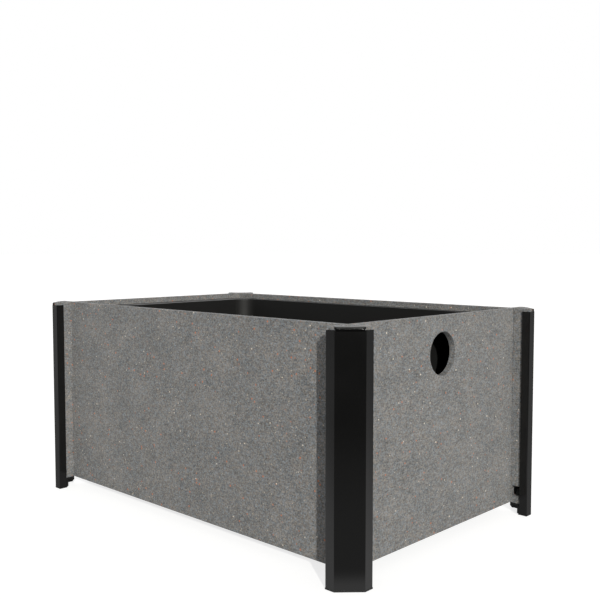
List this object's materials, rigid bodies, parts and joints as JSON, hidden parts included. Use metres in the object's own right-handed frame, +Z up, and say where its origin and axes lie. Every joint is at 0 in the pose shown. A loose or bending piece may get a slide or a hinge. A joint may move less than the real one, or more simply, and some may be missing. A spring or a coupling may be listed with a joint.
{
  "type": "planter box",
  "caption": "Rectangular planter box of grey composite boards crossed at the corners, held by black corner posts, with hand holes in the ends and a lift-out liner.",
  "frame": {"origin": "on the ground, under the centre of the box", "axes": "+Z up, +X along the long panels to the right seen from the front, -Y out of the front panel"},
  "size_m": [0.9124, 0.6044, 0.4215],
  "materials": {
    "composite_board": "grey mineral-filled composite board with fine pressed fibres, matte, with pale and rusty flecks",
    "black_post": "black semi-gloss powder coat",
    "black_moulding": "black satin injection-moulded plastic",
    "bearer_aluminium": "mill-finish extruded angle",
    "screw_steel": "zinc-plated steel",
    "liner_plastic": "black moulded plastic with a fine grain"
  },
  "bodies": {
    "planter": {"front_panel": "composite_board", "back_panel": "composite_board", "left_end_panel": "composite_board", "right_end_panel": "composite_board", "corner_post_front_right": "black_post", "corner_post_back_right": "black_post", "corner_post_back_left": "black_post", "corner_post_front_left": "black_post", "post_cap_front_right": "black_moulding", "post_cap_back_right": "black_moulding", "post_cap_back_left": "black_moulding", "post_cap_front_left": "black_moulding", "corner_foot_front_right": "black_moulding", "corner_foot_back_right": "black_moulding", "corner_foot_back_left": "black_moulding", "corner_foot_front_left": "black_moulding", "floor_bearer_front": "bearer_aluminium", "floor_bearer_back": "bearer_aluminium", "floor_slat_1": "composite_board", "floor_slat_2": "composite_board", "floor_slat_3": "composite_board", "floor_slat_4": "composite_board", "floor_slat_5": "composite_board", "floor_slat_6": "composite_board", "bearer_screws": "screw_steel", "slat_screws": "screw_steel"},
    "liner": {"liner": "liner_plastic"}
  },
  "joints": [
    {"name": "liner_lift", "type": "slide", "parent": "planter", "child": "liner", "axis": [0, 0, 1], "range_m": [0, 0.4]}
  ]
}
